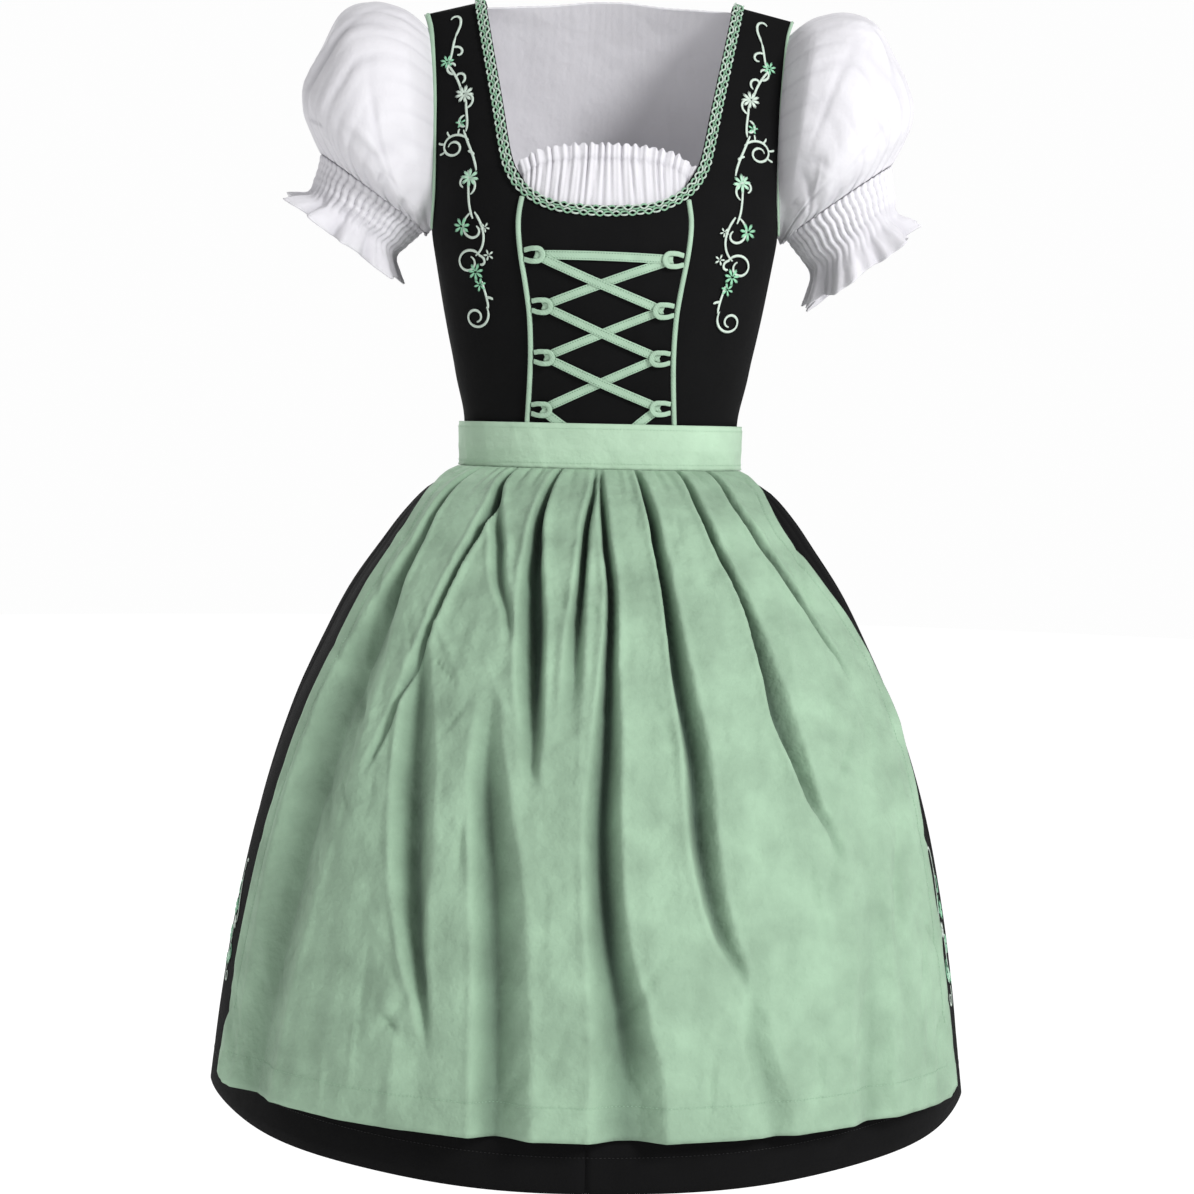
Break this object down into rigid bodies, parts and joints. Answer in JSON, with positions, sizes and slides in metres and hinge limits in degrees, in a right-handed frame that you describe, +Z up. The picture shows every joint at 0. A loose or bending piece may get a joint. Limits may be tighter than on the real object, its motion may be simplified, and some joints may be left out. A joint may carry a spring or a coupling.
{
  "type": "dirndl dress with blouse and apron",
  "caption": "Dirndl set kept in its worn, hollow form: dark laced bodice and full skirt, pleated mint apron tied behind, white blouse with puffed sleeves.",
  "frame": {"origin": "midway between the two shoulder seams, at the height of the straps' inner ends; the wearer's shoulders carry the set there", "axes": "+Z up, the front of the dress faces -Y, the wearer's left is +X"},
  "size_m": [0.7074, 0.7315, 0.9943],
  "materials": {
    "dress_cotton": "plain woven black cotton, matt, with stitched flower vines on straps and bodice sides",
    "mint_trim": "mint satin tape, cord piping and scalloped braid",
    "apron_cotton": "mint plain-woven cotton, soft sheen, topstitched hems",
    "blouse_cotton": "white fine cotton, slightly translucent look, shirred cuffs"
  },
  "bodies": {
    "root": {"bodice_front_centre": "dress_cotton", "bodice_side_front_left": "dress_cotton", "bodice_side_front_right": "dress_cotton", "bodice_back_left": "dress_cotton", "bodice_back_right": "dress_cotton", "skirt_front_left": "dress_cotton", "skirt_front_right": "dress_cotton", "skirt_back": "dress_cotton", "princess_piping_left": "mint_trim", "princess_piping_right": "mint_trim", "neckline_braid_front": "mint_trim", "neckline_braid_back": "mint_trim", "armhole_piping_left": "mint_trim", "armhole_piping_right": "mint_trim", "lacing_loop_left_1": "mint_trim", "lacing_loop_left_2": "mint_trim", "lacing_loop_left_3": "mint_trim", "lacing_loop_left_4": "mint_trim", "lacing_loop_right_1": "mint_trim", "lacing_loop_right_2": "mint_trim", "lacing_loop_right_3": "mint_trim", "lacing_loop_right_4": "mint_trim", "lacing_tape_top": "mint_trim", "lacing_tape_1": "mint_trim", "lacing_tape_2": "mint_trim", "lacing_tape_3": "mint_trim", "lacing_tape_4": "mint_trim", "lacing_tape_5": "mint_trim", "lacing_tape_6": "mint_trim", "lacing_end_right": "mint_trim", "lacing_end_left": "mint_trim", "apron_panel": "apron_cotton", "apron_waistband": "apron_cotton", "apron_tie_left": "apron_cotton", "apron_tie_right": "apron_cotton", "apron_bow_knot": "apron_cotton", "apron_bow_loop_left": "apron_cotton", "apron_bow_loop_right": "apron_cotton", "apron_tie_end_left": "apron_cotton", "apron_tie_end_right": "apron_cotton", "blouse_front": "blouse_cotton", "blouse_back": "blouse_cotton", "sleeve_left": "blouse_cotton", "sleeve_right": "blouse_cotton", "cuff_left": "blouse_cotton", "cuff_right": "blouse_cotton"}
  },
  "joints": []
}
